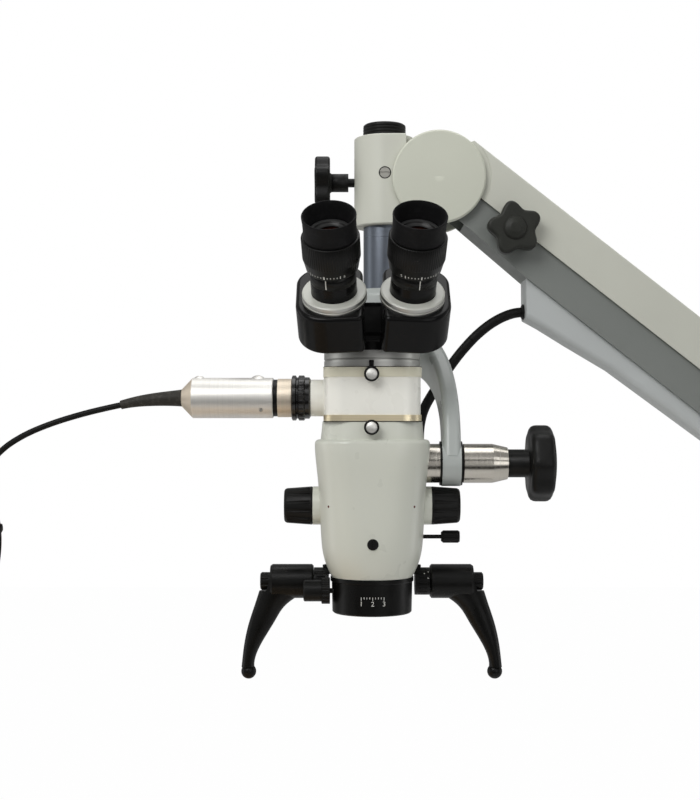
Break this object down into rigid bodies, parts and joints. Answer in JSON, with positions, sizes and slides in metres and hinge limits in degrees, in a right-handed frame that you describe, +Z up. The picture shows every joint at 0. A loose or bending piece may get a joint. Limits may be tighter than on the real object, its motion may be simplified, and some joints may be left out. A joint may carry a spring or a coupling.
{
  "type": "surgical microscope",
  "caption": "Surgical microscope head with inclined binocular, beam splitter and camera, hung in a tilting yoke from a balanced parallelogram arm.",
  "frame": {"origin": "shoulder of the stand spindle under the arm's rear knuckle, on the spindle's axis", "axes": "+Z up along the stand spindle's axis, +X from the head towards the stand, +Y away from the surgeon"},
  "size_m": [0.7471, 0.2291, 0.4356],
  "materials": {
    "arm_white": "fine powder coat, off-white",
    "link_grey": "satin grey paint",
    "duct_grey": "satin light grey paint",
    "shaft_steel": "turned, blue-grey",
    "bright_steel": "turned bright",
    "body_cream": "smooth cream enamel",
    "splitter_white": "bright white enamel",
    "collar_white": "satin light ring",
    "camera_silver": "satin anodised",
    "black_metal": "satin black enamel",
    "black_plastic": "moulded black plastic",
    "black_rubber": "matt soft rubber",
    "plug_metal": "nickel plated",
    "lens_glass": "coated optical glass",
    "bush_brass": "plain bush"
  },
  "bodies": {
    "stand_knuckle": {"rear_knuckle": "arm_white", "stand_spindle": "shaft_steel", "rear_pivot_pins": "bright_steel", "rear_disc_covers": "arm_white"},
    "upper_link": {"arm_top_cover": "arm_white", "upper_link_bar": "bright_steel"},
    "lower_link": {"lower_link_channel": "link_grey", "cable_duct": "duct_grey", "balance_spring": "bright_steel", "light_guide_gland": "black_plastic", "light_guide": "black_rubber"},
    "arm_lock": {"arm_lock_knob": "black_plastic"},
    "hub": {"front_hub": "arm_white", "front_pivot_pins": "bright_steel", "front_disc_covers": "arm_white", "swivel_bushes": "bush_brass", "hub_screw": "bright_steel"},
    "swivel_lock": {"swivel_lock_knob": "black_plastic"},
    "yoke": {"swivel_shaft": "shaft_steel", "shaft_cap": "black_plastic", "yoke_arm": "duct_grey", "yoke_washers": "black_plastic"},
    "tilt_lock": {"tilt_lock_sleeve": "bright_steel", "tilt_lock_knob": "black_plastic"},
    "microscope_body": {"body_shell": "body_cream", "tilt_drum": "bright_steel", "light_port": "body_cream", "front_plug": "black_plastic", "objective_housing": "black_metal", "handle_bar": "black_metal", "splitter_housing": "splitter_white", "splitter_prisms": "lens_glass", "mount_ring": "bright_steel", "binocular_base": "black_metal", "camera_body": "camera_silver", "camera_strain_relief": "black_rubber", "camera_cable": "black_rubber", "camera_cable_coil": "black_rubber", "camera_plug": "plug_metal"},
    "camera_lock": {"camera_lock_ring": "black_metal"},
    "focus": {"focus_knob": "black_plastic"},
    "objective": {"objective_cell": "black_metal", "objective_lens": "lens_glass"},
    "magnification": {"magnification_knobs": "black_plastic", "drum_turret": "black_metal"},
    "filter": {"filter_slide": "black_metal"},
    "left_handle": {"left_grip": "black_plastic"},
    "right_handle": {"right_grip": "black_plastic"},
    "upper_screw": {"upper_thumbscrew": "bright_steel"},
    "lower_screw": {"lower_thumbscrew": "bright_steel"},
    "left_ocular": {"left_prism_housing": "black_metal", "left_tube_collar": "collar_white"},
    "left_diopter": {"left_diopter_ring": "black_metal", "left_eye_lens": "lens_glass"},
    "left_cup": {"left_eyecup": "black_rubber"},
    "right_ocular": {"right_prism_housing": "black_metal", "right_tube_collar": "collar_white"},
    "right_diopter": {"right_diopter_ring": "black_metal", "right_eye_lens": "lens_glass"},
    "right_cup": {"right_eyecup": "black_rubber"}
  },
  "joints": [
    {"name": "arm_lift", "type": "hinge", "parent": "stand_knuckle", "child": "lower_link", "pos_m": [-0.043, 0, 0.0182], "axis": [0, 1, 0], "range_deg": [-70, 3]},
    {"name": "upper_link_swing", "type": "hinge", "parent": "stand_knuckle", "child": "upper_link", "pos_m": [-0.043, 0, 0.0582], "axis": [0, 1, 0], "range_deg": [-70, 3]},
    {"name": "hub_level", "type": "hinge", "parent": "lower_link", "child": "hub", "pos_m": [-0.3582, 0, 0.26446], "axis": [0, 1, 0], "range_deg": [-3, 70]},
    {"name": "yoke_swivel", "type": "hinge", "parent": "hub", "child": "yoke", "pos_m": [-0.4008, 0, 0.25946], "axis": [0, 0, 1], "range_deg": [-120, 50]},
    {"name": "body_tilt", "type": "hinge", "parent": "yoke", "child": "microscope_body", "pos_m": [-0.4122, -0.08, 0.05946], "axis": [1, 0, 0], "range_deg": [-5, 70], "deforming": ["light_guide"]},
    {"name": "tilt_lock_turn", "type": "hinge", "parent": "microscope_body", "child": "tilt_lock", "pos_m": [-0.3122, -0.08, 0.05946], "axis": [1, 0, 0], "range_deg": [0, 180]},
    {"name": "swivel_lock_turn", "type": "hinge", "parent": "hub", "child": "swivel_lock", "pos_m": [-0.4322, 0, 0.28446], "axis": [1, 0, 0], "range_deg": [0, 180]},
    {"name": "arm_lock_turn", "type": "hinge", "parent": "lower_link", "child": "arm_lock", "pos_m": [-0.29996, 0, 0.24205], "axis": [0, 1, 0], "range_deg": [0, 180]},
    {"name": "drum_turn", "type": "hinge", "parent": "microscope_body", "child": "magnification", "pos_m": [-0.4122, -0.08, 0.02786], "axis": [1, 0, 0], "continuous": true},
    {"name": "filter_push", "type": "slide", "parent": "microscope_body", "child": "filter", "axis": [-1, 0, 0], "range_m": [0, 0.01]},
    {"name": "objective_slide", "type": "slide", "parent": "microscope_body", "child": "objective", "axis": [0, 0, 1], "range_m": [-0.006, 0.006]},
    {"name": "focus_turn", "type": "hinge", "parent": "microscope_body", "child": "focus", "pos_m": [-0.4522, -0.088, -0.03504], "axis": [1, 0, 0], "range_deg": [-181, 181]},
    {"name": "left_handle_turn", "type": "hinge", "parent": "microscope_body", "child": "left_handle", "pos_m": [-0.4722, -0.066, -0.03034], "axis": [1, 0, 0], "range_deg": [-45, 45]},
    {"name": "right_handle_turn", "type": "hinge", "parent": "microscope_body", "child": "right_handle", "pos_m": [-0.3522, -0.066, -0.03034], "axis": [1, 0, 0], "range_deg": [-45, 45]},
    {"name": "right_ipd", "type": "hinge", "parent": "microscope_body", "child": "right_ocular", "pos_m": [-0.3849, -0.12491, 0.19099], "axis": [0.0523, -0.6552, 0.7537], "range_deg": [-8, 20]},
    {"name": "left_ipd", "type": "hinge", "parent": "microscope_body", "child": "left_ocular", "pos_m": [-0.4395, -0.12491, 0.19099], "axis": [-0.0523, -0.6552, 0.7537], "range_deg": [-20, 8]},
    {"name": "left_diopter_turn", "type": "hinge", "parent": "left_ocular", "child": "left_diopter", "pos_m": [-0.44107, -0.15965, 0.20047], "axis": [-0.0523, -0.6552, 0.7537], "range_deg": [-120, 120]},
    {"name": "left_cup_slide", "type": "slide", "parent": "left_diopter", "child": "left_cup", "axis": [-0.0523, -0.6552, 0.7537], "range_m": [0, 0.008]},
    {"name": "right_diopter_turn", "type": "hinge", "parent": "right_ocular", "child": "right_diopter", "pos_m": [-0.38333, -0.15965, 0.20047], "axis": [0.0523, -0.6552, 0.7537], "range_deg": [-120, 120]},
    {"name": "right_cup_slide", "type": "slide", "parent": "right_diopter", "child": "right_cup", "axis": [0.0523, -0.6552, 0.7537], "range_m": [0, 0.008]},
    {"name": "upper_screw_turn", "type": "hinge", "parent": "microscope_body", "child": "upper_screw", "pos_m": [-0.4132, -0.125, 0.12476], "axis": [0, 1, 0], "range_deg": [0, 180]},
    {"name": "lower_screw_turn", "type": "hinge", "parent": "microscope_body", "child": "lower_screw", "pos_m": [-0.4132, -0.125, 0.08636], "axis": [0, 1, 0], "range_deg": [0, 180]},
    {"name": "camera_lock_turn", "type": "hinge", "parent": "microscope_body", "child": "camera_lock", "pos_m": [-0.4652, -0.08, 0.10846], "axis": [1, 0, 0], "range_deg": [-90, 0]}
  ],
  "couplings": [
    {"joint": "upper_link_swing", "follows": "arm_lift", "ratio": 1},
    {"joint": "hub_level", "follows": "arm_lift", "ratio": -1},
    {"joint": "left_ipd", "follows": "right_ipd", "ratio": -1},
    {"joint": "focus_turn", "follows": "objective_slide", "rad_per_m": 523.6}
  ]
}
